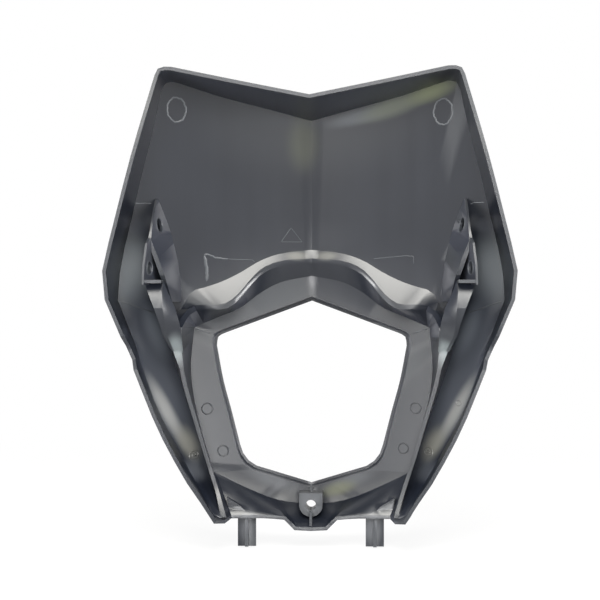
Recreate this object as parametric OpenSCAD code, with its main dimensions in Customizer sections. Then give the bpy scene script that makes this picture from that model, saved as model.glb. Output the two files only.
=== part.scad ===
// Headlight cowl of an off-road motorbike, moulded in one piece.
// +Z is up, +Y is the direction of travel, and the origin is the centre of
// the lower screw hole on its rear seat. The outlines are drawn for one half
// and mirrored across X = 0.

/* [Shell] */
// Width across the widest point of the rear rim
cowl_w = 271; // [240:1:300]
// Height from the screw hole to the top corners of the rim
cowl_h = 293; // [270:1:320]
// Depth of the side walls at the widest point
side_depth = 48; // [36:1:60]
// Wall thickness of the moulding
wall = 2.4; // [1.8:0.1:3.2]

/* [Lamp window] */
// Width of the lamp window between its upper corners
window_w = 139; // [120:1:150]
// Height of the lamp window from point to point
window_h = 133; // [115:1:140]
// Depth of the flange round the window
flange_depth = 4.5; // [3:0.5:8]
// Width of the lip that turns in at the flange's front edge
flange_lip = 1.8; // [1:0.2:3]

/* [Hood groove] */
// Lean of the hood over the lamp, as its depth over its height
hood_lean = 0.5; // [0.3:0.05:0.8]
// Width of the rolled edge of the hood
hood_edge = 3.6; // [3:0.2:6]

/* [Wings] */
// Height of the lamp-side walls, from the screw seat back to their edge
rib_back = 20; // [14:1:26]
// Thickness of the lamp-side walls at their edge
rib_wall = 2.6; // [2:0.1:3.5]
// Extra width of the lamp-side walls at their top, under the brackets
rib_flare = 6.2; // [0:0.2:8]

/* [Screw boss] */
// Diameter of the lower screw hole
screw_d = 7; // [5:0.1:9]
// Width of the boss round the screw hole
boss_w = 16; // [13:0.5:20]

/* [Strap brackets] */
// Thickness of the brackets that the straps hold
bracket_wall = 2.6; // [2:0.1:3.5]
// Thickness of the brackets at their thin rear edge
bracket_tip = 1.4; // [1:0.1:2.5]
// Diameter of the upper strap holes
upper_hole_d = 9.4; // [6:0.2:11]
// Diameter of the lower strap holes
lower_hole_d = 8.6; // [6:0.2:10]

/* [Lower pegs] */
// Distance between the two lower pegs
peg_span = 87.4; // [80:0.2:94]
// Width of a peg across its blade
peg_w = 12.4; // [10:0.2:14]
// Length of a peg below the lip
peg_drop = 20; // [14:1:26]
// Thickness of the blades that make up a peg
peg_wall = 2.4; // [1.8:0.1:3.2]

/* [Hidden] */
drawn_w = 271;
drawn_h = 293;
kx = cowl_w / drawn_w;
kz = cowl_h / drawn_h;

// Spans along each stretch of the half outline
n_top = 9;
n_corner = 3;
n_side = 8;
n_hood = n_top + n_corner + n_side;
n_wing = 14;
n_tip = 1;
n_chin = 9;
n_low = n_tip + n_chin;

// Depth of each surface over the half outline, from half-width h and height z
function plate_y(h, z) = 41 - 0.16 * (z - 140) - 0.32 * h;
function lamp_y(h, z) = 17 + 0.12 * z - 0.14 * h;
// The panel's lower corners curl back towards the rider
function curl(h, z) = 0.003 * pow(max(0, 195 - z), 2) * min(1, max(0, (h - 104) / 16));
function panel_y(h, z) = plate_y(h, z) - curl(h, z);
// The wing leans back from the crease where it leaves the panel
function crease_z(h) = 129 + 0.37 * (h - 101);
function wing_y(h, z) = let (c = crease_z(h), drop = c - z)
    plate_y(h, c) - curl(h, c) * min(1, max(0, 1 - drop / 30)) - 0.25 * drop;

function lerp(a, b, t) = a + (b - a) * t;
function unit(v) = v / max(norm(v), 1e-9);

// Running length along a list of points
function run(p) = [for (i = 0, s = 0; i < len(p);
    s = s + (i + 1 < len(p) ? norm(p[i + 1] - p[i]) : 0), i = i + 1) s];

// Smooth curve through points, as n equal spans
function slope_at(p, s, i) =
    i == 0 ? (p[1] - p[0]) / (s[1] - s[0]) :
    i == len(p) - 1 ? (p[i] - p[i - 1]) / (s[i] - s[i - 1]) :
    (p[i + 1] - p[i - 1]) / (s[i + 1] - s[i - 1]);
function span_of(s, at) = max([for (i = [0 : len(s) - 2]) if (s[i] <= at || i == 0) i]);
function on_curve(p, s, at) =
    let (i = span_of(s, at), h = s[i + 1] - s[i], t = (at - s[i]) / h)
    (2 * t * t * t - 3 * t * t + 1) * p[i]
    + (t * t * t - 2 * t * t + t) * h * slope_at(p, s, i)
    + (3 * t * t - 2 * t * t * t) * p[i + 1]
    + (t * t * t - t * t) * h * slope_at(p, s, i + 1);
function curve(p, n) = let (s = run(p))
    [for (i = [0 : n]) on_curve(p, s, s[len(s) - 1] * i / n)];

// Stretches joined end to end, with each shared point kept once
function chain(parts) = [for (i = [0 : len(parts) - 1], j = [0 : len(parts[i]) - 1])
    if (i == 0 || j > 0) parts[i][j]];
function sized(p) = [for (q = p) len(q) > 2 ? [q[0] * kx, q[1] * kz, q[2]] : [q[0] * kx, q[1] * kz]];
function on_plate(p) = [for (q = p) [q[0], q[1], plate_y(q[0], q[1])]];
function on_panel(p) = [for (q = p) [q[0], q[1], panel_y(q[0], q[1])]];
function on_lamp(p) = [for (q = p) [q[0], q[1], lamp_y(q[0], q[1])]];
function on_wing(p) = [for (q = p) [q[0], q[1], wing_y(q[0], q[1])]];

// Rear rim of the outer wall: half-width, height, depth
rim_back = -2 - side_depth;
rim = chain([
    curve(sized([[0, 275, rim_back + 8], [45, 284, rim_back + 8], [91, 293.5, rim_back + 8]]), n_top),
    curve(sized([[91, 293.5, rim_back + 8], [99, 293, rim_back + 8], [102, 288, rim_back + 8]]), n_corner),
    curve(sized([[102, 288, rim_back + 8], [116, 238, rim_back + 3], [129, 186, rim_back + 1],
        [135, 160, rim_back], [135.5, 150, rim_back], [133.5, 140, rim_back]]), n_side),
    curve(sized([[133.5, 140, rim_back], [123.5, 116, rim_back + 2]]), 3),
    curve(sized([[123.5, 116, rim_back + 2], [120.5, 108, rim_back + 12], [115.5, 97, rim_back + 9],
        [115, 94, rim_back + 3]]), 3),
    curve(sized([[115, 94, rim_back + 3], [98.5, 54, rim_back + 3], [78, 16, rim_back + 6],
        [69, 3, rim_back + 9], [63, -7.5, rim_back + 12]]), n_wing - 7),
    curve(sized([[63, -7.5, rim_back + 12], [56.5, -8.5, -30]]), 1),
    curve(sized([[56.5, -8.5, -30], [54, -8.5, -6]]), n_tip),
    curve(sized([[54, -8.5, -6], [31, -8.5, -5], [18, -9.5, -5]]), 5),
    curve(sized([[18, -9.5, -5], [11, -16.5, -5]]), 2),
    curve(sized([[11, -16.5, -5], [0, -17, -5]]), 2),
]);

// Outer edge of the front panel, at the foot of the outer wall
foot = chain([
    on_plate(curve(sized([[0, 265.5], [35, 273.5], [62, 279.5], [88, 287]]), n_top)),
    on_plate(curve(sized([[88, 287], [97, 288], [101, 282]]), n_corner)),
    on_panel(curve(sized([[101, 282], [107, 255], [115, 225], [121.5, 198], [128, 171], [131.5, 147],
        [131, 140]]), n_side)),
    on_wing(curve(sized([[131, 140], [125, 124], [120, 110]]), 4)),
    curve(sized([[120, 110, wing_y(120, 110)], [115.5, 97, -6], [102, 62.5, -10], [81.5, 25, -14]]), n_wing - 7),
    curve(sized([[81.5, 25, -14], [71.5, 9, -24], [65, -1.5, -33]]), 2),
    curve(sized([[65, -1.5, -33], [59.6, -4.9, -30]]), 1),
]);

// Crease that runs down the floor of each wing, midway over the panel above it
crease_wing = chain([
    on_wing(curve(sized([[116, 134.5], [113, 112], [109.5, 95], [103, 78], [94.5, 64.5], [82, 46],
        [73, 25]]), n_wing - 3)),
    curve(sized([[73, 25, wing_y(73, 25)], [67, 9, -18], [62.2, -2.2, -31]]), 2),
    curve(sized([[62.2, -2.2, -31], [58.8, -4.7, -29.6]]), 1),
]);

// Upper edge of the hood groove, then the foot of the lamp-side wall
hood_top = chain([
    on_plate(curve(sized([[0, 176], [22, 173], [36, 168], [50, 159.5], [62, 153.5], [73, 149.5],
        [81.5, 147], [86.5, 142], [90.5, 134], [101, 129]]), n_hood)),
    on_wing(curve(sized([[101, 129], [97, 106], [90, 85], [83, 66], [77, 48], [69, 24]]), n_wing - 3)),
    curve(sized([[69, 24, wing_y(69, 24)], [63.5, 9, -16], [59.8, -2, -29]]), 2),
    curve(sized([[59.8, -2, -29], [58.2, -4.5, -29.2]]), 1),
]);

// Rolled edge of the hood, then the rear edge of the lamp-side wall
n_end = 3;
roll = chain([
    curve(sized([[0, 168], [21.5, 166], [34, 161], [42, 153], [50.5, 142.5], [59.5, 136], [73.5, 135.5],
        [80, 134.5]]), n_hood - n_end),
    curve(sized([[80, 134.5], [84.5, 131], [88, 122]]), n_end),
]);
ridge = chain([
    curve(sized([[88, 122, -rib_back], [86.6, 113, -rib_back], [86, 103, -rib_back], [84.8, 92, -rib_back],
        [81.8, 79, -rib_back], [76, 60, -rib_back], [70.5, 41.5, -rib_back], [64, 21, -rib_back]]), n_wing - 3),
    curve(sized([[64, 21, -rib_back], [59.5, 8, -rib_back - 4], [56.4, -1.5, -rib_back - 9]]), 2),
    curve(sized([[56.4, -1.5, -rib_back - 9], [55.4, -4.5, -rib_back - 9.5]]), 1),
]);

// Outer edge of the flat strip round the window
strip = chain([
    on_lamp(curve(sized([[0, 157.5], [22, 153], [36, 145.5], [50, 135], [64, 129], [80.5, 122]]), n_hood - n_end)),
    on_lamp(curve(sized([[80.5, 122], [82, 121]]), n_end)),
    on_lamp(curve(sized([[82, 121], [84, 91], [79, 60], [73, 39], [67.5, 21.5]]), n_wing)),
    on_lamp(curve(sized([[67.5, 21.5], [66, 20.8]]), n_tip)),
    on_lamp(curve(sized([[66, 20.8], [43, 9.5], [22, 1.5], [0, -1.5]]), n_chin)),
]);

// Edge of the lamp window
wx = window_w / 139 * kx;
wz = window_h / 133;
window_mid = 76.5 * kz;
function windowed(p) = [for (q = p) [q[0] * wx, window_mid + (q[1] - 76.5) * wz]];
window = chain([
    on_lamp(curve(windowed([[0, 143], [63, 119.5]]), n_hood - 4)),
    on_lamp(curve(windowed([[63, 119.5], [68.5, 116.5], [69.5, 110]]), 4)),
    on_lamp(curve(windowed([[69.5, 110], [64.5, 84.5], [58.7, 63.5], [52, 38]]), n_wing - 3)),
    on_lamp(curve(windowed([[52, 38], [48, 28.5], [40, 22.5]]), 3)),
    on_lamp(curve(windowed([[40, 22.5], [0, 10]]), n_low)),
]);

n_half = n_hood + n_wing + n_low;
// How far the stretch k is along the wing, from 0 in the hood to 1 beside the lamp
function in_wing(k) = min(1, max(0, (k - n_hood + n_end) / n_end));
function below(k) = min(1, max(0, (k - n_hood - n_wing) / n_tip));

// Depth of the rolled edge: behind the hood, then out to the rib's rear edge
function roll_y(k) = lerp(hood_top[k][2] - hood_lean * norm(flat(roll[k]) - flat(hood_top[k])), -rib_back,
    in_wing(k));

// Width of the lamp-side wall's rear edge, which flares at its top
function rib_width(z) = rib_wall + rib_flare * min(1, max(0, (z / kz - 94) / 22));

// Point of the panel, a share t of the way from the hood to the outer wall
function mid_panel(u, f, t) = let (m = lerp(flat(u), flat(f), t)) [m[0], m[1], panel_y(m[0], m[1])];

// Flange round the window: drawn in by d on its way forward
draft_in = 1.2;
function drawn_in(w, d, y) = [w[0] * (1 - d * 2 / window_w),
    window_mid + (w[1] - window_mid) * (1 - d * 2 / window_h), w[2] + y];
function flange(w) = [drawn_in(w, draft_in + flange_lip, flange_depth + 0.3), drawn_in(w, draft_in, flange_depth), w];

// The outline is the outer edge of the rim, so its inner edge lies one wall inside it
function flat(p) = [p[0], p[1]];
function rim_side(k) = unit(flat(rim[min(k + 1, n_half)]) - flat(rim[max(k - 1, 0)]));
function inset(k) = let (d = k == 0 || k == n_half ? [k == 0 ? 1 : -1, 0] : rim_side(k))
    [rim[k][0] + d[1] * wall, rim[k][1] - d[0] * wall, rim[k][2]];

// One station: its points from the window flange out to the rim
function station(k) = let (w = window[k], s = strip[k], r = inset(k))
    concat(flange(w), [s], k <= n_hood ? hood_rows(k, s, r) : k <= n_hood + n_wing ? wing_rows(k, s, r) :
        chin_rows(k, s, r));
function hood_rows(k, s, r) =
    let (a = roll[k], u = hood_top[k], f = foot[k], y = roll_y(k),
        side = unit([u[0] - s[0], u[1] - s[1]]) * hood_edge / 2)
    [[a[0] - side[0], a[1] - side[1], y + 0.3], [a[0] + side[0], a[1] + side[1], y],
        u, mid_panel(u, f, 0.25), mid_panel(u, f, 0.5), mid_panel(u, f, 0.75), f, r];
function wing_floor(u, c, f) = [u, (u + c) / 2, c, (c + f) / 2, f];
function wing_rows(k, s, r) = let (i = k - n_hood, a = ridge[i])
    concat([a, [a[0] + rib_width(a[1]), a[1], a[2]]], wing_floor(hood_top[k], crease_wing[i], foot[k]), [r]);

// Below the lamp the strip folds back to the lip, and the wing's tip runs out into that skirt
function chin_rows(k, s, r) =
    let (t = below(k), a = ridge[n_wing], last = n_hood + n_wing,
        tip = concat([a, [a[0] + rib_wall, a[1], a[2]]], wing_floor(hood_top[last], crease_wing[n_wing], foot[last])))
    concat([for (j = [0 : 6]) lerp(tip[j], lerp(s, r, (j + 1) / 8), t)], [r]);

// The whole loop of stations: down one side, and up the other mirrored
function placed(p, side) = [side * p[0], p[2], p[1]];
stations = [
    for (k = [0 : n_half]) [for (p = station(k)) placed(p, -1)],
    for (k = [n_half - 1 : -1 : 1]) [for (p = station(k)) placed(p, 1)],
];
n_all = len(stations);
n_rows = len(stations[0]);
function at(k, j) = stations[(k + n_all) % n_all][j];

// Facing of the panel between two stations and two rows
function facing(k, j) = unit(cross(at(k + 1, j + 1) - at(k, j), at(k, j + 1) - at(k + 1, j)));
function around(k, j) = [for (a = [-1, 0], b = [-1, 0])
    if (j + b >= 0 && j + b < n_rows - 1) facing(k + a, j + b)];
function sum(v) = [for (i = 0, s = v[0]; i < len(v); i = i + 1, s = i < len(v) ? s + v[i] : s) s][len(v) - 1];
// Step from the rear skin to the front skin, one wall thickness square to the panels
function through(k, j) = let (n = around(k, j), m = unit(sum(n)), f = sum([for (q = n) q * m]) / len(n))
    m * wall / max(f, 0.55);
function index(k) = k <= n_half ? k : n_all - k;
function rib_share(k) = index(k) > n_hood + n_wing ? 1 - below(index(k)) : in_wing(index(k));
function skin(k, j) = at(k, j) + through(k, j);
// A rib has no front skin of its own: the strip's runs across to the wing's floor
edge_row = 3;
floor_row = 6;
function floor_front(k) = lerp(skin(k, floor_row), at(k, floor_row) + [0, wall, 0], rib_share(k));
rim_row = 11;
function rim_edge(k) = placed(rim[index(k)], k <= n_half ? -1 : 1);
function front_point(k, j) = j == rim_row ? rim_edge(k) : j <= edge_row || j > floor_row ? skin(k, j) :
    lerp(skin(k, j), lerp(skin(k, edge_row), floor_front(k), (j - edge_row) / (floor_row - edge_row)), rib_share(k));

// Shell from the window flange to the rim, with its rear and front skins
module shell() {
    rear = [for (k = [0 : n_all - 1], j = [0 : n_rows - 1]) at(k, j)];
    front = [for (k = [0 : n_all - 1], j = [0 : n_rows - 1]) front_point(k, j)];
    count = n_all * n_rows;
    function id(k, j) = ((k + n_all) % n_all) * n_rows + j;
    panels = [for (k = [0 : n_all - 1], j = [0 : n_rows - 2])
        [id(k, j), id(k + 1, j), id(k + 1, j + 1), id(k, j + 1)]];
    function split(q) = [[q[0], q[1], q[2]], [q[0], q[2], q[3]]];
    function turned(q) = [q[3], q[2], q[1], q[0]];
    edges = [for (k = [0 : n_all - 1])
        each [[id(k, 0), id(k, 0) + count, id(k + 1, 0) + count, id(k + 1, 0)],
            [id(k + 1, n_rows - 1), id(k + 1, n_rows - 1) + count, id(k, n_rows - 1) + count, id(k, n_rows - 1)]]];
    faces = [
        for (q = panels) each split(q),
        for (q = panels) each split(turned([for (i = q) i + count])),
        for (q = edges) each split(q),
    ];
    polyhedron(points = concat(rear, front), faces = faces, convexity = 8);
}

// Solid through rings of points, closed at both ends
module loft(rings) {
    n = len(rings[0]);
    last = (len(rings) - 1) * n;
    sides = [for (i = [0 : len(rings) - 2], j = [0 : n - 1])
        let (a = i * n + j, b = i * n + (j + 1) % n)
        each [[a, b, b + n], [a, b + n, a + n]]];
    low = [for (j = [1 : n - 2]) [0, j + 1, j]];
    high = [for (j = [1 : n - 2]) [last, last + j, last + j + 1]];
    polyhedron(points = [for (r = rings) each r], faces = concat(sides, low, high), convexity = 4);
}

// Pulls an outline in X and Z out along Y, from one depth to another
module along_y(from, to) translate([0, to, 0]) rotate([90, 0, 0]) linear_extrude(to - from) children();

// Both sides of the cowl, drawn on the +X side
module both_sides() {
    children();
    mirror([1, 0, 0]) children();
}

// Strap bracket. Its inner layer stands on the panel, and each row gives the height,
// the half-width of its foot, then the half-width and depth of its rear edge
inner_rows = [[209, 104, 104.8, -5], [203, 101.8, 104.8, -14], [195, 98.8, 104.8, -24], [186, 95.8, 105.2, -30.5],
    [179.5, 94.4, 105.5, -31.5], [168, 92, 100.8, -30.6], [156.5, 90.6, 96.8, -29.6], [148, 90, 95.2, -22],
    [139, 90, 94, -10]];
sunk = wall / 2;
function foot_y(h, z) = plate_y(h, z) + sunk;
inner_wall = bracket_wall + 0.5;
function edge_wall(z) = lerp(inner_wall, bracket_tip, min(1, max(0, (z - 176) / 8)));
function inner_ring(r) = let (z = r[0] * kz, h = r[1] * kx, e = r[2] * kx)
    [[h, foot_y(h, z), z], [e, r[3], z], [e + edge_wall(r[0]), r[3], z], [h + inner_wall, foot_y(h, z), z]];

// Its outer layer reaches further back, and leaves a ledge along the inner layer's edge
outer_rows = [[181, 98, 106.2, -33], [177.5, 97.4, 107, -39], [163, 94.6, 108.4, -43], [150, 94, 108.9, -43]];
function outer_ring(r) = let (z = r[0] * kz, h = r[1] * kx, e = r[2] * kx)
    [[h, foot_y(h, z), z], [e, r[3], z], [e + bracket_tip, r[3], z], [h + bracket_wall, foot_y(h, z), z]];

// Column under the bracket, which runs out into the lamp-side wall: height, then half-width and
// depth of its inner edge and of its fold, half-width of the outer side, and the front corner
column_rows = [[152.5, 97, -33, 98, -33, 109.6, 100, -14], [146, 94.6, -33, 97.7, -37, 107.4, 98, -8],
    [134.5, 89.4, -31, 96.8, -40, 102.6, 93.5, 4], [124.5, 87, -28, 96, -35, 99.6, 91.5, 6],
    [116, 86, -24, 95.2, -29, 97.8, 90, 8], [105, 85.4, -19.5, 91.6, -19.5, 92.8, 89, 8]];
function column_ring(r) = let (z = r[0] * kz)
    [[r[6] * kx, r[7], z], [r[1] * kx, r[2], z], [r[3] * kx, r[4], z], [r[5] * kx, r[4], z],
        [r[6] * kx + 2 * bracket_wall, r[7], z]];

// Shelf that closes the top of the column
shelf = 2.2;
module shelf() translate([97.6 * kx, -42.5, 151 * kz]) cube([12.3, 12, shelf]);

// Strap holes: half-width, depth and height of the centre, and the lean of the bracket there
upper_hole = [103, -14.5, 190.6, 17];
lower_hole = [107, -34, 161, 17];
hole_run = 12;
module strap_hole(at, d) translate([at[0] * kx, at[1], at[2] * kz]) rotate([0, 90, at[3]])
    cylinder(d = d, h = hole_run, center = true, $fn = 48);

module bracket() {
    loft([for (r = inner_rows) inner_ring(r)]);
    loft([for (r = outer_rows) outer_ring(r)]);
    loft([for (r = column_rows) column_ring(r)]);
    shelf();
}

// Boss for the lower screw, with a web above and below it
boss_top = 8;
boss_front = 17;
web = 1.8;
lip_z = -15 * kz;
module boss() {
    along_y(0, boss_front) {
        circle(d = boss_w, $fn = 64);
        translate([-boss_w / 2, 0]) square([boss_w, boss_top]);
    }
    rotate([90, 0, 90]) linear_extrude(web, center = true)
        polygon([[-3.5, lip_z + 1], [-3.5, -4], [9, -4], [9, 12], [18, 12], [18, 2], [8, -6.5]]);
}

// Peg that plugs into the mudguard: a flat blade with a cross rib, on a gusset beside the wing tip
peg_z = -8 * kz;
peg_y = 0.5;
rib_d = 9;
module peg() translate([peg_span / 2, 0, 0]) {
    translate([0, peg_y, peg_z - peg_drop]) linear_extrude(peg_drop + 5) {
        square([peg_w, peg_wall], center = true);
        square([peg_wall, rib_d], center = true);
    }
    along_y(-3.5, 2) polygon([[-2, peg_z + 0.5], [-2, peg_z + 2], [4.5, peg_z + 8], [13.5, peg_z + 13.5],
        [11.5, peg_z + 0.5]]);
}

module cowl() color([0.16, 0.17, 0.19]) difference() {
    union() {
        shell();
        both_sides() bracket();
        both_sides() peg();
        boss();
    }
    along_y(-1, boss_front + 12) circle(d = screw_d, $fn = 64);
    both_sides() strap_hole(upper_hole, upper_hole_d);
    both_sides() strap_hole(lower_hole, lower_hole_d);
}

cowl();
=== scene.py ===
"""Dresses the headlight cowl, a one-piece black moulding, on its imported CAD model."""

import logging
import math
from dataclasses import dataclass
from enum import Enum

import bpy
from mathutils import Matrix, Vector
from mathutils.bvhtree import BVHTree

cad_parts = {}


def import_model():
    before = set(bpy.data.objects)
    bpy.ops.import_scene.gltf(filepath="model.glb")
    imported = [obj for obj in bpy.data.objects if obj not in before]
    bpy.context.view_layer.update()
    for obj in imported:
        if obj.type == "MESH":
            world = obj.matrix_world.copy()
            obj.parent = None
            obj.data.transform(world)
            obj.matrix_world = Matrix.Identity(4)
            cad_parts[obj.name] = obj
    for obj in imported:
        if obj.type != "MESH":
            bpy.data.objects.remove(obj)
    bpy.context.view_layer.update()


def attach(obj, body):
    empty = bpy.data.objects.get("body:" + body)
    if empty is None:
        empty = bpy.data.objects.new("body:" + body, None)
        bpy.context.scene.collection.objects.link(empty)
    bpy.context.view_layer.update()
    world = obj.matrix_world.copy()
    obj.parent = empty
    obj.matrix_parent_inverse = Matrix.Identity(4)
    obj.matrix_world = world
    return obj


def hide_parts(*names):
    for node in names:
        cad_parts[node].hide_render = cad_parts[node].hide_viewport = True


log = logging.getLogger("cowl")
Pair = tuple[float, float]
Triple = tuple[float, float, float]
MM = 0.001
NODE = "cowl"
BODY = "root"
WHITE = (1.0, 1.0, 1.0, 1.0)


class Relief(Enum):
    """Heights of the moulding marks above the skin, in millimetres."""

    FLASH = 0.22
    LINE = 0.3
    PIN = 0.35


def linear(hex_colour: str) -> tuple[float, float, float, float]:
    """Turns an sRGB hex colour to linear values.

    Args:
        hex_colour: Six hex digits.

    Returns:
        Red, green, blue and an alpha of 1.
    """
    parts = [int(hex_colour[i:i + 2], 16) / 255 for i in (0, 2, 4)]
    red, green, blue = [c / 12.92 if c <= 0.04045 else ((c + 0.055) / 1.055) ** 2.4 for c in parts]
    return red, green, blue, 1.0


def add_node(tree: bpy.types.NodeTree, kind: str, settings: dict | None = None,
             inputs: dict | None = None, links: dict | None = None) -> bpy.types.Node:
    """Adds one shader node with its settings and links.

    Args:
        tree: The node tree that it goes into.
        kind: Blender's name for the node type.
        settings: Properties of the node, by name.
        inputs: Values of its input sockets, by name or number.
        links: Output sockets that feed its inputs, by name or number.

    Returns:
        The new node.
    """
    node = tree.nodes.new(kind)
    for name, value in (settings or {}).items():
        setattr(node, name, value)
    for name, value in (inputs or {}).items():
        node.inputs[name].default_value = value
    for name, output in (links or {}).items():
        tree.links.new(output, node.inputs[name])
    return node


def empty_material(name: str) -> bpy.types.Material:
    """Makes a material with no nodes yet.

    Args:
        name: The material's name.

    Returns:
        The material, whose nodes are still to come.
    """
    material = bpy.data.materials.new(name)
    material.use_nodes = True
    material.node_tree.nodes.clear()
    return material


def deselect_all() -> None:
    """Leaves nothing selected, so that an operator acts on new work alone."""
    if bpy.context.object and bpy.context.object.mode != "OBJECT":
        bpy.ops.object.mode_set(mode="OBJECT")
    bpy.ops.object.select_all(action="DESELECT")


def make_active(thing: bpy.types.Object) -> None:
    """Selects one object alone and makes it the active one.

    Args:
        thing: The object.
    """
    deselect_all()
    thing.select_set(True)
    bpy.context.view_layer.objects.active = thing


@dataclass(frozen=True)
class Patch:
    """A soft round patch of another colour on the rear skin. Some are tints of the plastic; the
    rest are painted highlights.

    Attributes:
        centre: Its middle, in millimetres.
        reach: Its width, depth and height, as half-lengths in millimetres.
        colour: Its colour.
        strength: How far the colour takes over in the middle.
        lean_deg: How far its top leans to the right, in degrees.
    """

    centre: Triple
    reach: Triple
    colour: str
    strength: float
    lean_deg: float = 0.0


def both_sides(centre: Triple, reach: Triple, colours: tuple[str, str], strength: float,
               lean_deg: float = 0.0) -> tuple[Patch, Patch]:
    """Places a patch on the left and its mirror image on the right.

    Args:
        centre: Middle of the left one, in millimetres.
        reach: Half-lengths of both.
        colours: Colours of the left one and the right one.
        strength: How far the colours take over in the middle.
        lean_deg: How far the left one's top leans to the right, in degrees.

    Returns:
        The left patch and the right one.
    """
    x, y, z = centre
    return (Patch(centre, reach, colours[0], strength, lean_deg),
            Patch((-x, y, z), reach, colours[1], strength, -lean_deg))


# Later patches lie over earlier ones
PATCHES = (
    # The top of the panel: a paler field over the top, and a green-grey stain near the middle and a
    # band that rises to the right, taken to be flow tints in the plastic itself
    Patch((0, 20, 268), (110, 60, 52), "24262a", 0.8),
    Patch((-6, 22, 250), (15, 40, 26), "3a3c32", 0.6),
    Patch((34, 8, 267), (32, 40, 7), "3c3f43", 0.9, -12),
    Patch((58, 8, 273), (34, 40, 9), "454940", 0.9, -17),
    Patch((84, 5, 282), (26, 40, 9), "51563e", 0.9, -18),
    # Painted paler than the plastic, for the light on the flange under the window
    *both_sides((-28, 20, 15), (28, 16, 7), ("3c3e42", "3c3e42"), 0.7, 20),
    # An olive tint beside the boss, taken to be in the plastic too
    Patch((19, 18, 9.5), (17, 20, 6.5), "484a32", 0.55, -16),
    # All that follow are painted paler than the plastic, for the light on them.
    # Boss, pegs and the middle of the hood's band
    Patch((0, 0, 5), (13, 10, 18), "484a4e", 0.8),
    *both_sides((-42, -3, -16), (9, 12, 18), ("4c4e52", "4c4e52"), 0.8),
    *both_sides((-10.5, 30, 171.5), (10.5, 14, 4.6), ("50504d", "50504d"), 0.8),
    # Facets at the shoulders
    *both_sides((-122, -14, 160), (20, 40, 34), ("5c6064", "54585c"), 0.8),
    # Wings, with a bright streak along each
    *both_sides((-97, -3, 85), (38, 16, 98), ("34373e", "34373e"), 1.0, -25),
    Patch((-98.5, -3, 64), (6.5, 16, 38), "757677", 0.9, -28),
    Patch((98.5, -3, 64), (6, 16, 38), "6d6e6e", 0.9, 28),
    # Lamp-side columns
    *both_sides((-90, -22, 107), (8, 13, 17), ("545a5c", "545a5c"), 0.9, -8),
    # Wings beside the columns, and their lower ends
    *both_sides((-106, 0, 118), (9, 14, 28), ("4a4e55", "4a4e55"), 0.9, -22),
    *both_sides((-80, -8, 24), (12, 16, 13), ("44474d", "3a3d43"), 0.8, -28),
    *both_sides((-83, -6, 43), (9, 16, 18), ("63635f", "5f5f5b"), 0.85, -28),
)


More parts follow.
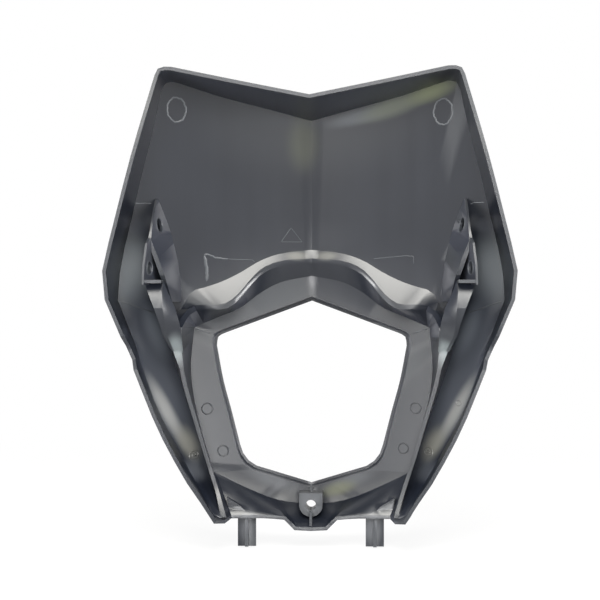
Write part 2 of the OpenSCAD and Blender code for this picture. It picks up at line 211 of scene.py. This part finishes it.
@dataclass(frozen=True)
class BlackPolypropylene:
    """Injection-moulded polypropylene, dyed black: a soft sheen, flow marks and worn edges, with
    paler colour painted on the rear skin for the light on it.

    Attributes:
        name: The material's name.
        base: Its colour.
        cloud: Colour of its faint clouds.
        walls: Paler colour painted on the steep walls of the rear skin, for the light on them from
            the sides.
        rubbed: Colour of the worn edges.
        roughness: Roughness as moulded.
        worn_roughness: Roughness of the worn edges.
        roughness_swing: How far the flow marks lower and raise the roughness.
        ior: Its index of refraction.
        grain_mm: Size of the grain.
        grain_bump: Strength of the grain's relief.
        grain_height_mm: Height of the grain's relief.
        cloud_mm: Size of the clouds.
        cloud_range: Where the pattern of the clouds starts and ends.
        flow_across_mm: Width of the flow marks.
        flow_along_mm: Length of the flow marks.
        rear: Normal's Y where the rear skin starts and where it counts in full.
        steep: Normal's Y where a wall of the rear skin starts and where it counts in full.
        not_up: Normal's Z where a surface stops to face up and where it no longer does at all.
        worn: Pointiness where wear starts and where it counts in full.
        patch_edge: Shares of a patch's reach where it starts and where it is at its strongest.
        patches: The patches on the rear skin, some tints of the plastic and the rest painted
            highlights.
    """

    name: str = "black_polypropylene"
    base: str = "0e1118"
    cloud: str = "13161d"
    walls: str = "2b2d34"
    rubbed: str = "1e2126"
    roughness: float = 0.3
    worn_roughness: float = 0.6
    roughness_swing: Pair = (-0.015, 0.025)
    ior: float = 1.5
    grain_mm: float = 0.9
    grain_bump: float = 0.1
    grain_height_mm: float = 0.05
    cloud_mm: float = 60.0
    cloud_range: Pair = (0.08, 0.5)
    flow_across_mm: float = 9.0
    flow_along_mm: float = 220.0
    rear: Pair = (-0.02, -0.15)
    steep: Pair = (-0.8, -0.35)
    not_up: Pair = (0.5, 0.15)
    worn: Pair = (0.53, 0.62)
    patch_edge: Pair = (1.0, 0.2)
    patches: tuple[Patch, ...] = PATCHES

    def make(self) -> bpy.types.Material:
        """Builds the material.

        Returns:
            The finished material, on Object coordinates.
        """
        material = empty_material(self.name)
        tree = material.node_tree
        coordinates = add_node(tree, "ShaderNodeTexCoord")
        place = coordinates.outputs["Object"]
        facing = add_node(tree, "ShaderNodeSeparateXYZ",
                          links={"Vector": coordinates.outputs["Normal"]})
        # Only the rear skin, which faces -Y, has patches, and walls painted paler for the light on
        # them
        rear = add_node(tree, "ShaderNodeMapRange",
                        inputs={"From Min": self.rear[0], "From Max": self.rear[1]},
                        links={"Value": facing.outputs["Y"]}).outputs["Result"]
        marks = self.flow_marks(tree, place)
        spread = add_node(tree, "ShaderNodeMapRange",
                          inputs={"From Min": self.cloud_range[0], "From Max": self.cloud_range[1]},
                          links={"Value": marks})
        colour = add_node(tree, "ShaderNodeMix", {"data_type": "RGBA"},
                          {"A": linear(self.base), "B": linear(self.cloud)},
                          {"Factor": spread.outputs["Result"]}).outputs["Result"]
        colour = self.paint_wall_light(tree, facing, rear, colour)
        for patch in self.patches:
            colour = self.stain_and_painted_light(tree, place, rear, colour, patch)
        edges = add_node(tree, "ShaderNodeNewGeometry")
        worn = add_node(tree, "ShaderNodeMapRange",
                        inputs={"From Min": self.worn[0], "From Max": self.worn[1]},
                        links={"Value": edges.outputs["Pointiness"]}).outputs["Result"]
        colour = add_node(tree, "ShaderNodeMix", {"data_type": "RGBA"}, {"B": linear(self.rubbed)},
                          {"Factor": worn, "A": colour}).outputs["Result"]
        smooth, rough = (self.roughness + swing for swing in self.roughness_swing)
        sheen = add_node(tree, "ShaderNodeMapRange", inputs={"To Min": smooth, "To Max": rough},
                         links={"Value": marks})
        sheen = add_node(tree, "ShaderNodeMix", inputs={"B": self.worn_roughness},
                         links={"Factor": worn, "A": sheen.outputs["Result"]})
        # Real mould texture is about 0.1 mm, so it is drawn coarser to show at all
        grain = add_node(tree, "ShaderNodeTexNoise",
                         inputs={"Scale": 1 / (self.grain_mm * MM), "Detail": 2.0,
                                 "Roughness": 0.6},
                         links={"Vector": place})
        bump = add_node(tree, "ShaderNodeBump",
                        inputs={"Strength": self.grain_bump,
                                "Distance": self.grain_height_mm * MM},
                        links={"Height": grain.outputs["Fac"]})
        shader = add_node(tree, "ShaderNodeBsdfPrincipled", inputs={"IOR": self.ior},
                          links={"Base Color": colour, "Roughness": sheen.outputs["Result"],
                                 "Normal": bump.outputs["Normal"]})
        add_node(tree, "ShaderNodeOutputMaterial", links={"Surface": shader.outputs["BSDF"]})
        return material

    def flow_marks(self, tree: bpy.types.NodeTree,
                   place: bpy.types.NodeSocket) -> bpy.types.NodeSocket:
        """Draws faint clouds crossed by long flow marks.

        Args:
            tree: The material's node tree.
            place: The Object coordinates.

        Returns:
            The pattern.
        """
        cloud = add_node(tree, "ShaderNodeTexNoise",
                         inputs={"Scale": 1 / (self.cloud_mm * MM), "Detail": 3.0,
                                 "Roughness": 0.5},
                         links={"Vector": place})
        across, along = 1 / (self.flow_across_mm * MM), 1 / (self.flow_along_mm * MM)
        drawn = add_node(tree, "ShaderNodeVectorMath", {"operation": "MULTIPLY"},
                         {1: (across, along, along)}, {0: place})
        flow = add_node(tree, "ShaderNodeTexNoise",
                        inputs={"Scale": 1.0, "Detail": 2.0, "Roughness": 0.5},
                        links={"Vector": drawn.outputs["Vector"]})
        return add_node(tree, "ShaderNodeMath", {"operation": "MULTIPLY"},
                        links={0: cloud.outputs["Fac"], 1: flow.outputs["Fac"]}).outputs["Value"]

    def paint_wall_light(self, tree: bpy.types.NodeTree, facing: bpy.types.Node,
                   rear: bpy.types.NodeSocket, under: bpy.types.NodeSocket) -> bpy.types.NodeSocket:
        """Paints the steep walls paler than the plastic, for the light on them from the sides.

        Args:
            tree: The material's node tree.
            facing: The node that gives the normal's X, Y and Z.
            rear: How far the surface faces the rear, from 0 to 1.
            under: The colour below.

        Returns:
            The colour with the walls on it. Walls that face up stay as they are.
        """
        steep = add_node(tree, "ShaderNodeMapRange",
                         inputs={"From Min": self.steep[0], "From Max": self.steep[1]},
                         links={"Value": facing.outputs["Y"]})
        not_up = add_node(tree, "ShaderNodeMapRange",
                          inputs={"From Min": self.not_up[0], "From Max": self.not_up[1]},
                          links={"Value": facing.outputs["Z"]})
        turned = add_node(tree, "ShaderNodeMath", {"operation": "MULTIPLY"},
                          links={0: steep.outputs["Result"], 1: not_up.outputs["Result"]})
        share = add_node(tree, "ShaderNodeMath", {"operation": "MULTIPLY"},
                         links={0: turned.outputs["Value"], 1: rear})
        return add_node(tree, "ShaderNodeMix", {"data_type": "RGBA"}, {"B": linear(self.walls)},
                        {"Factor": share.outputs["Value"], "A": under}).outputs["Result"]

    def stain_and_painted_light(self, tree: bpy.types.NodeTree, place: bpy.types.NodeSocket,
              rear: bpy.types.NodeSocket, under: bpy.types.NodeSocket,
              patch: Patch) -> bpy.types.NodeSocket:
        """Lays one soft patch over the colour below it. Some patches are tints of the plastic; the
        rest are painted highlights.

        Args:
            tree: The material's node tree.
            place: The Object coordinates.
            rear: How far the surface faces the rear, from 0 to 1.
            under: The colour below.
            patch: The patch.

        Returns:
            The colour with the patch on it.
        """
        from_middle = add_node(tree, "ShaderNodeVectorMath", {"operation": "SUBTRACT"},
                               {1: tuple(c * MM for c in patch.centre)}, {0: place})
        upright = add_node(tree, "ShaderNodeVectorRotate", {"rotation_type": "Y_AXIS"},
                           {"Angle": -math.radians(patch.lean_deg)},
                           {"Vector": from_middle.outputs["Vector"]})
        shares = add_node(tree, "ShaderNodeVectorMath", {"operation": "MULTIPLY"},
                          {1: tuple(1 / (r * MM) for r in patch.reach)},
                          {0: upright.outputs["Vector"]})
        far = add_node(tree, "ShaderNodeVectorMath", {"operation": "LENGTH"},
                       links={0: shares.outputs["Vector"]})
        fade = add_node(tree, "ShaderNodeMapRange", {"interpolation_type": "SMOOTHSTEP"},
                        {"From Min": self.patch_edge[0], "From Max": self.patch_edge[1],
                         "To Max": patch.strength},
                        {"Value": far.outputs["Value"]})
        share = add_node(tree, "ShaderNodeMath", {"operation": "MULTIPLY"},
                         links={0: fade.outputs["Result"], 1: rear})
        return add_node(tree, "ShaderNodeMix", {"data_type": "RGBA"}, {"B": linear(patch.colour)},
                        {"Factor": share.outputs["Value"], "A": under}).outputs["Result"]


@dataclass
class Moulding:
    """The cowl itself: a merged copy of the CAD node with eased edges.

    Attributes:
        name: The piece's name.
        merge: How near two points are that become one, in metres.
        ease: Width of the rounding of its edges, in metres.
        ease_deg: The least angle between two faces whose edge is rounded.
        smooth_deg: The greatest angle between two faces that shade as one surface.
    """

    name: str = "cowl_moulding"
    merge: float = 0.004 * MM
    ease: float = 0.3 * MM
    ease_deg: float = 30.0
    smooth_deg: float = 29.0

    def build(self, finish: bpy.types.Material) -> bpy.types.Object:
        """Copies the node's mesh, merges it and dresses it.

        Args:
            finish: The material of the moulding.

        Returns:
            The piece that stands for the node.
        """
        mesh = bpy.data.objects[NODE].data.copy()
        mesh.name = self.name
        mesh.materials.clear()
        mesh.materials.append(finish)
        piece = bpy.data.objects.new(self.name, mesh)
        bpy.context.scene.collection.objects.link(piece)
        make_active(piece)
        bpy.ops.object.mode_set(mode="EDIT")
        bpy.ops.mesh.select_all(action="SELECT")
        bpy.ops.mesh.remove_doubles(threshold=self.merge)
        bpy.ops.mesh.dissolve_degenerate(threshold=self.merge)
        bpy.ops.object.mode_set(mode="OBJECT")
        bpy.ops.mesh.customdata_custom_splitnormals_clear()
        self.ease_edges(piece)
        bpy.ops.object.shade_smooth_by_angle(angle=math.radians(self.smooth_deg))
        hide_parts(NODE)
        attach(piece, BODY)
        return piece

    def ease_edges(self, piece: bpy.types.Object) -> None:
        """Rounds the sharp edges of the piece, as a mould does.

        Args:
            piece: The piece, which is the active object.
        """
        bevel = piece.modifiers.new("eased edges", "BEVEL")
        bevel.width = self.ease
        bevel.segments = 1
        bevel.limit_method = "ANGLE"
        bevel.angle_limit = math.radians(self.ease_deg)
        bevel.use_clamp_overlap = True
        bevel.harden_normals = False
        bpy.ops.object.modifier_apply(modifier=bevel.name)


@dataclass(frozen=True)
class Bead:
    """A fine raised line on the rear skin.

    Attributes:
        path: Its corners in X and Z, in millimetres.
        width: Its width, in millimetres.
        height: Its height above the skin.
        closed: Whether it runs back to its start.
        wander: How far the line wavers, in millimetres.
    """

    path: tuple[Pair, ...]
    width: float = 0.9
    height: Relief = Relief.LINE
    closed: bool = False
    wander: float = 0.0


def ring(x: float, z: float, across: float, up: float, width: float, height: Relief,
         wander: float = 0.0, steps: int = 40) -> Bead:
    """Describes a bead that runs round an ellipse.

    Args:
        x: Middle in X, in millimetres.
        z: Middle in Z.
        across: Half its width.
        up: Half its height.
        width: Width of the bead.
        height: Height of the bead.
        wander: How far the line wavers.
        steps: Corners round it.

    Returns:
        The closed bead.
    """
    turns = [2 * math.pi * i / steps for i in range(steps)]
    path = tuple((x + across * math.cos(t), z + up * math.sin(t)) for t in turns)
    return Bead(path, width, height, True, wander)


PLATE_RINGS = (
    ring(-91.2, 269.7, 6.2, 8.2, 1.5, Relief.FLASH, 0.4),
    ring(89.9, 267.7, 6.2, 8.6, 1.5, Relief.FLASH, 0.4),
)
PIN_MARKS = (
    ring(-72.4, 64.7, 3.7, 3.7, 1.0, Relief.PIN),
    ring(-61.1, 35.7, 3.6, 3.6, 1.0, Relief.PIN),
    ring(72.2, 65.4, 3.6, 3.6, 1.0, Relief.PIN),
    ring(63.6, 37.8, 3.5, 3.5, 1.0, Relief.PIN),
    ring(-79.6, 34.5, 2.7, 2.7, 0.8, Relief.PIN),
    ring(-79.6, 34.5, 1.0, 1.0, 0.6, Relief.PIN),
    ring(80.0, 37.2, 2.7, 2.7, 0.8, Relief.PIN),
    ring(80.0, 37.2, 1.0, 1.0, 0.6, Relief.PIN),
    ring(100.4, 70.2, 1.6, 1.6, 0.6, Relief.PIN),
)
WITNESS_LINES = (
    Bead(((-74.2, 171.2), (-73.6, 168.0), (-72.6, 161.1), (-72.8, 153.5)), 2.4, wander=0.3),
    Bead(((-74.6, 171.0), (-72.2, 172.2), (-66.9, 169.8), (-58.0, 168.8)), 1.6, wander=0.25),
    Bead(((-58.0, 168.8), (-41.7, 168.4), (-39.6, 166.8)), 0.7, Relief.FLASH),
    Bead(((70.9, 165.2), (70.8, 170.4), (66.0, 171.0), (43.0, 169.1)), 0.7, Relief.FLASH,
         wander=0.1),
    Bead(((-81.8, 120.6), (-77.0, 118.6), (-70.9, 117.0)), wander=0.1),
    Bead(((81.2, 120.6), (76.0, 118.6), (71.0, 117.2)), wander=0.1),
)
# Beads along the creases between the panel and the wings; their paler colour is a painted highlight
# on each crease
PANEL_CREASE_HIGHLIGHTS = tuple(
    Bead(((side * 129.6, 139.3), (side * 124.0, 137.5), (side * 115.4, 134.3),
          (side * 108.0, 131.5)), 1.0, Relief.FLASH)
    for side in (1, -1))
TRIANGLE = (
    Bead(((-14.6, 191.1), (-21.6, 181.2), (-7.0, 181.4)), 0.6, Relief.FLASH, closed=True),
)
SCRATCHES = (
    Bead(((108.6, 205.4), (112.0, 206.4), (117.6, 206.2)), 0.6, Relief.FLASH, wander=0.2),
    Bead(((-120.0, 206.0), (-113.0, 206.3), (-108.5, 206.2)), 0.4, Relief.FLASH, wander=0.1),
)


def on_skin(tree: BVHTree, x: float, z: float, above: float, start_y: float = -0.3) -> Vector:
    """Finds a point over the rear skin.

    Args:
        tree: The moulding's skin.
        x: Its place in X, in millimetres.
        z: Its place in Z.
        above: Its height over the skin.
        start_y: Where the search starts, in metres, to the rear of the cowl.

    Returns:
        The point, in metres.

    Raises:
        ValueError: Nothing lies there.
    """
    hit, normal, _, _ = tree.ray_cast(Vector((x * MM, start_y, z * MM)), Vector((0, 1, 0)))
    if hit is None:
        raise ValueError(f"no skin at {x:.1f}, {z:.1f}")
    return hit + normal * (above * MM if normal.y < 0 else -above * MM)


def swept_faces(start: int, sections: int, size: int, closed: bool) -> list[tuple[int, ...]]:
    """Joins the sections along a bead with faces.

    Args:
        start: Number of the bead's first point.
        sections: How many sections it has.
        size: How many points a section has.
        closed: Whether the last section joins the first.

    Returns:
        The faces, as numbers of points.
    """
    faces = []
    for i in range(sections if closed else sections - 1):
        here, there = start + i * size, start + (i + 1) % sections * size
        faces += [(here + j, here + j + 1, there + j + 1, there + j) for j in range(size - 1)]
    return faces


def fine_piece(name: str, points: list[Vector], faces: list[tuple[int, ...]],
               finish: bpy.types.Material) -> bpy.types.Object:
    """Makes a piece of fine relief from its points and faces.

    Args:
        name: The piece's name.
        points: Its points, in metres.
        faces: Its faces.
        finish: Its material.

    Returns:
        The piece, which rides the cowl.
    """
    mesh = bpy.data.meshes.new(name)
    mesh.from_pydata(points, [], faces)
    mesh.validate()
    mesh.materials.append(finish)
    piece = bpy.data.objects.new(name, mesh)
    bpy.context.scene.collection.objects.link(piece)
    make_active(piece)
    bpy.ops.object.shade_smooth()
    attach(piece, BODY)
    return piece


@dataclass(frozen=True)
class SkinMarks:
    """Marks that the mould or use has left on the rear skin, and painted highlights along creases,
    as fine beads that follow it.

    Attributes:
        name: The piece's name.
        beads: The beads that it is made of.
        step_mm: Distance between a bead's sections.
        sunk_mm: How deep a bead's edges lie below the skin.
        shoulder: Height halfway to a bead's edge, as a share of its full height.
        tip: Size of an open bead's ends, as a share of its full size.
        quick: Speed of the waver's short waves, in radians a step.
        slow: Speed of its long waves.
        shift: How far the waver of each bead is shifted from the last one's, in radians.
    """

    name: str
    beads: tuple[Bead, ...]
    step_mm: float = 1.0
    sunk_mm: float = 0.12
    shoulder: float = 0.75
    tip: float = 0.35
    quick: float = 1.7
    slow: float = 0.6
    shift: float = 2.3

    def build(self, tree: BVHTree, finish: bpy.types.Material) -> bpy.types.Object:
        """Draws every bead into one piece.

        Args:
            tree: The moulding's skin.
            finish: The material of the marks.

        Returns:
            The finished piece.
        """
        points: list[Vector] = []
        faces: list[tuple[int, ...]] = []
        for number, bead in enumerate(self.beads):
            self.add_bead(tree, bead, number, points, faces)
        return fine_piece(self.name, points, faces, finish)

    def stops(self, bead: Bead) -> list[Pair]:
        """Divides a bead's path into even short steps.

        Args:
            bead: The bead.

        Returns:
            Points of its path, in X and Z.
        """
        corners = list(bead.path) + ([bead.path[0]] if bead.closed else [])
        stops = []
        for (x0, z0), (x1, z1) in zip(corners, corners[1:]):
            count = max(1, round(math.dist((x0, z0), (x1, z1)) / self.step_mm))
            stops += [(x0 + (x1 - x0) * i / count, z0 + (z1 - z0) * i / count)
                      for i in range(count)]
        return stops if bead.closed else stops + [corners[-1]]

    def add_bead(self, tree: BVHTree, bead: Bead, number: int, points: list[Vector],
                 faces: list[tuple[int, ...]]) -> None:
        """Adds the points and faces of one bead.

        Args:
            tree: The moulding's skin.
            bead: The bead.
            number: Its number, which sets how it wavers.
            points: The points so far, in metres.
            faces: The faces so far.
        """
        stops = self.stops(bead)
        count = len(stops)
        start = len(points)
        top, side_top = bead.height.value, self.shoulder * bead.height.value
        profile = ((-0.5, -self.sunk_mm), (-0.25, side_top), (0.0, top), (0.25, side_top),
                   (0.5, -self.sunk_mm))
        for i, (x, z) in enumerate(stops):
            before = stops[i - 1] if i or bead.closed else stops[i]
            after = stops[(i + 1) % count] if i + 1 < count or bead.closed else stops[i]
            run = Vector((after[0] - before[0], after[1] - before[1])).normalized()
            side = Vector((run.y, -run.x))
            to_end = min(i, count - 1 - i) * self.step_mm / bead.width
            full = 1.0 if bead.closed else min(1.0, self.tip + to_end)
            waves = math.sin(self.quick * i + self.shift * number) * math.sin(self.slow * i)
            for across, up in profile:
                over = across * bead.width * full + bead.wander * waves
                points.append(on_skin(tree, x + side.x * over, z + side.y * over,
                                      up * full if up > 0 else up))
        faces += swept_faces(start, count, len(profile), bead.closed)


@dataclass(frozen=True)
class HoleBurr:
    """The ragged burr that the mould leaves round a strap hole, on the side of the lamp.

    Attributes:
        centre: Middle of the hole, in millimetres.
        inward: The direction from the hole to the cowl's middle.
        radius: Radius of the hole.
        width: Width of the burr.
        height: Its greatest height.
        ragged: How much its height varies, as a share of the greatest.
        quick: Speed of the height's short waves, in radians a corner.
        slow: Speed of its long waves.
        gap: Distance from the hole's edge to the burr.
        clear: How far inward of the hole the search for the bracket's face starts.
        profile: Its section, as shares of its width and its height.
    """

    centre: Triple
    inward: Triple
    radius: float
    width: float = 0.8
    height: float = 0.5
    ragged: float = 0.35
    quick: float = 3.7
    slow: float = 0.9
    gap: float = 0.1
    clear: float = 12.0
    profile: tuple[Pair, ...] = ((0.0, -0.1), (0.3, 0.8), (0.6, 1.0), (1.0, -0.1))

    def add(self, tree: BVHTree, points: list[Vector], faces: list[tuple[int, ...]],
            steps: int = 36) -> None:
        """Adds the burr's points and faces.

        Args:
            tree: The moulding's skin.
            points: The points so far, in metres.
            faces: The faces so far.
            steps: Corners round it.

        Raises:
            ValueError: The bracket's face is not where it should be.
        """
        inward = Vector(self.inward).normalized()
        up = Vector((0, 0, 1))
        across = inward.cross(up)
        start = len(points)
        for i in range(steps):
            turn = 2 * math.pi * i / steps
            out = across * math.cos(turn) + up * math.sin(turn)
            varied = self.ragged * math.sin(self.quick * i) * math.sin(self.slow * i)
            tall = self.height * (1 - self.ragged + varied)
            for share, rise in self.profile:
                from_centre = self.radius + self.gap + share * self.width
                at = Vector(self.centre) + out * from_centre + inward * self.clear
                hit, _, _, _ = tree.ray_cast(at * MM, -inward)
                if hit is None:
                    raise ValueError(f"no bracket round the hole at {self.centre}")
                points.append(hit + inward * (rise * tall * MM))
        faces += swept_faces(start, steps, len(self.profile), True)


# The brackets are turned by 17 degrees, so their holes look inward and a little to the rear
BRACKET_INWARD = (0.9563, -0.2924, 0.0)
STRAP_HOLES = tuple(
    HoleBurr((side * x, y, z), (-side * BRACKET_INWARD[0], *BRACKET_INWARD[1:]), radius)
    for side in (-1, 1)
    for x, y, z, radius in ((103, -14.5, 190.6, 4.7), (107, -34, 161, 4.3)))


@dataclass(frozen=True)
class HoleBurrs:
    """The burrs of all the strap holes, as one piece.

    Attributes:
        name: The piece's name.
        holes: The burr of each hole.
    """

    name: str
    holes: tuple[HoleBurr, ...]

    def build(self, tree: BVHTree, finish: bpy.types.Material) -> bpy.types.Object:
        """Draws every burr into one piece.

        Args:
            tree: The moulding's skin.
            finish: The material of the burrs.

        Returns:
            The finished piece.
        """
        points: list[Vector] = []
        faces: list[tuple[int, ...]] = []
        for hole in self.holes:
            hole.add(tree, points, faces)
        return fine_piece(self.name, points, faces, finish)


@dataclass(frozen=True)
class Lamp:
    """One square soft lamp.

    Attributes:
        name: Its name.
        place: Where it hangs, in metres.
        aim: The point that it faces.
        size: Its side, in metres.
        watts: Its power.
        colour: Its colour, in linear values.
    """

    name: str
    place: Triple
    aim: Triple
    size: float
    watts: float
    colour: Triple = (1.0, 1.0, 1.0)

    def hang(self) -> None:
        """Adds the lamp to the scene."""
        light = bpy.data.lights.new(self.name, "AREA")
        light.size = self.size
        light.energy = self.watts
        light.color = self.colour
        holder = bpy.data.objects.new(self.name, light)
        holder.location = self.place
        towards = Vector(self.aim) - Vector(self.place)
        holder.rotation_euler = towards.to_track_quat("-Z", "Y").to_euler()
        bpy.context.scene.collection.objects.link(holder)


LAMPS = (
    Lamp("key", (0.0, -1.2, 1.18), (0.0, 0.0, 0.14), 1.02, 57.0, (1.0, 0.985, 0.93)),
    Lamp("behind_camera", (0.0, -1.9, 0.15), (0.0, 0.0, 0.1), 0.5, 16.0),
    Lamp("left", (-1.3, -0.8, 0.22), (0.0, 0.0, 0.14), 0.48, 24.0),
    Lamp("right", (1.3, -0.8, 0.22), (0.0, 0.0, 0.14), 0.48, 24.0),
)


@dataclass
class Studio:
    """Floor, backdrop, lamps and the camera, none of them part of the cowl.

    Attributes:
        floor_z: Height of the floor, just under the pegs, in metres.
        floor_size: Its side, in metres.
        floor_colour: Its colour.
        floor_shade: How much of the floor's own shading shows close to the cowl, from 0 to 1.
        shade_reach: Distances from the origin where that fades and where it ends, in metres.
        eye: Where the camera stands, in metres.
        look: The direction in which it looks.
        lens: Its focal length, in millimetres.
        sensor: Width of its sensor, in millimetres.
        nearest: The least distance that it sees, in metres.
        world_grey: Strength of the room's light.
        lamps: The lamps.
    """

    floor_z: float = -0.0295
    floor_size: float = 40.0
    floor_colour: str = "ececec"
    floor_shade: float = 0.12
    shade_reach: Pair = (0.2, 0.9)
    eye: Triple = (0.0234, -1.0, 0.1334)
    look: Triple = (-0.0308, 1.0, 0.0068)
    lens: float = 87.7
    sensor: float = 36.0
    nearest: float = 0.05
    world_grey: float = 0.45
    lamps: tuple[Lamp, ...] = LAMPS

    def seen(self, tree: bpy.types.NodeTree) -> bpy.types.NodeSocket:
        """Tells the rays that see the background from those that only light.

        Args:
            tree: The node tree that asks.

        Returns:
            An output that is 1 for camera, glossy and transmission rays.
        """
        path = add_node(tree, "ShaderNodeLightPath")
        straight = add_node(tree, "ShaderNodeMath", {"operation": "MAXIMUM"},
                            links={0: path.outputs["Is Camera Ray"],
                                   1: path.outputs["Is Transmission Ray"]})
        return add_node(tree, "ShaderNodeMath", {"operation": "MAXIMUM"},
                        links={0: straight.outputs["Value"],
                               1: path.outputs["Is Glossy Ray"]}).outputs["Value"]

    def paper(self) -> bpy.types.Material:
        """Makes the floor's plain paper, which the camera sees as white away from the cowl.

        Returns:
            The material.
        """
        material = empty_material("floor_paper")
        tree = material.node_tree
        place = add_node(tree, "ShaderNodeTexCoord").outputs["Object"]
        away = add_node(tree, "ShaderNodeVectorMath", {"operation": "LENGTH"}, links={0: place})
        white = add_node(tree, "ShaderNodeMapRange", {"interpolation_type": "SMOOTHSTEP"},
                         {"From Min": self.shade_reach[0], "From Max": self.shade_reach[1],
                          "To Min": 1 - self.floor_shade, "To Max": 1.0},
                         {"Value": away.outputs["Value"]})
        share = add_node(tree, "ShaderNodeMath", {"operation": "MULTIPLY"},
                         links={0: self.seen(tree), 1: white.outputs["Result"]})
        matt = add_node(tree, "ShaderNodeBsdfDiffuse",
                        inputs={"Color": linear(self.floor_colour)})
        glow = add_node(tree, "ShaderNodeEmission", inputs={"Color": WHITE, "Strength": 1.0})
        both = add_node(tree, "ShaderNodeMixShader",
                        links={0: share.outputs["Value"], 1: matt.outputs["BSDF"],
                               2: glow.outputs["Emission"]})
        add_node(tree, "ShaderNodeOutputMaterial", links={"Surface": both.outputs["Shader"]})
        return material

    def add_floor(self) -> None:
        """Lays a wide pale floor under the pegs."""
        deselect_all()
        bpy.ops.mesh.primitive_plane_add(size=self.floor_size, location=(0, 0, self.floor_z))
        floor = bpy.context.object
        floor.name = "floor"
        floor.data.materials.append(self.paper())

    def add_world(self) -> None:
        """Sets a grey room whose background the camera sees as white."""
        world = bpy.data.worlds.new("room")
        bpy.context.scene.world = world
        world.use_nodes = True
        tree = world.node_tree
        tree.nodes.clear()
        grey = add_node(tree, "ShaderNodeBackground",
                        inputs={"Color": WHITE, "Strength": self.world_grey})
        white = add_node(tree, "ShaderNodeBackground", inputs={"Color": WHITE, "Strength": 1.0})
        both = add_node(tree, "ShaderNodeMixShader",
                        links={0: self.seen(tree), 1: grey.outputs["Background"],
                               2: white.outputs["Background"]})
        add_node(tree, "ShaderNodeOutputWorld", links={"Surface": both.outputs["Shader"]})

    def add_camera(self) -> None:
        """Puts the camera at the photograph's angle."""
        camera = bpy.data.cameras.new("camera")
        camera.lens = self.lens
        camera.sensor_width = self.sensor
        camera.clip_start = self.nearest
        eye = bpy.data.objects.new("camera", camera)
        eye.location = self.eye
        eye.rotation_euler = Vector(self.look).to_track_quat("-Z", "Y").to_euler()
        bpy.context.scene.collection.objects.link(eye)
        bpy.context.scene.camera = eye

    def build(self) -> None:
        """Sets up the whole studio."""
        bpy.context.scene.view_settings.view_transform = "Standard"
        self.add_floor()
        self.add_world()
        for lamp in self.lamps:
            lamp.hang()
        self.add_camera()


def main() -> None:
    """Builds the cowl's looks and the studio round it."""
    logging.basicConfig(level=logging.INFO)
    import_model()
    Studio().build()
    finish = BlackPolypropylene().make()
    scuffed = BlackPolypropylene(name="scuffed_polypropylene", base="5c5f63", cloud="74777b",
                                 roughness=0.5, patches=()).make()
    # A paler material: the moulding marks' own colour, and on the panel creases a painted highlight
    marks_and_crease_highlights = BlackPolypropylene(name="moulding_marks_and_crease_highlights", base="33363a", cloud="3a3d41",
                                roughness=0.45, patches=()).make()
    moulding = Moulding().build(finish)
    log.info("%s: %d faces", moulding.name, len(moulding.data.polygons))
    skin = BVHTree.FromPolygons([vertex.co for vertex in moulding.data.vertices],
                                [tuple(face.vertices) for face in moulding.data.polygons])
    relief = (
        (SkinMarks("plate_rings", PLATE_RINGS), marks_and_crease_highlights),
        (SkinMarks("pin_marks", PIN_MARKS), finish),
        (SkinMarks("witness_lines", WITNESS_LINES), marks_and_crease_highlights),
        (SkinMarks("panel_creases", PANEL_CREASE_HIGHLIGHTS), marks_and_crease_highlights),
        (SkinMarks("triangle_outline", TRIANGLE), marks_and_crease_highlights),
        (SkinMarks("scratches", SCRATCHES), scuffed),
        (HoleBurrs("hole_burrs", STRAP_HOLES), marks_and_crease_highlights),
    )
    for marks, material in relief:
        piece = marks.build(skin, material)
        log.info("%s: %d faces", piece.name, len(piece.data.polygons))


if __name__ == "__main__":
    main()
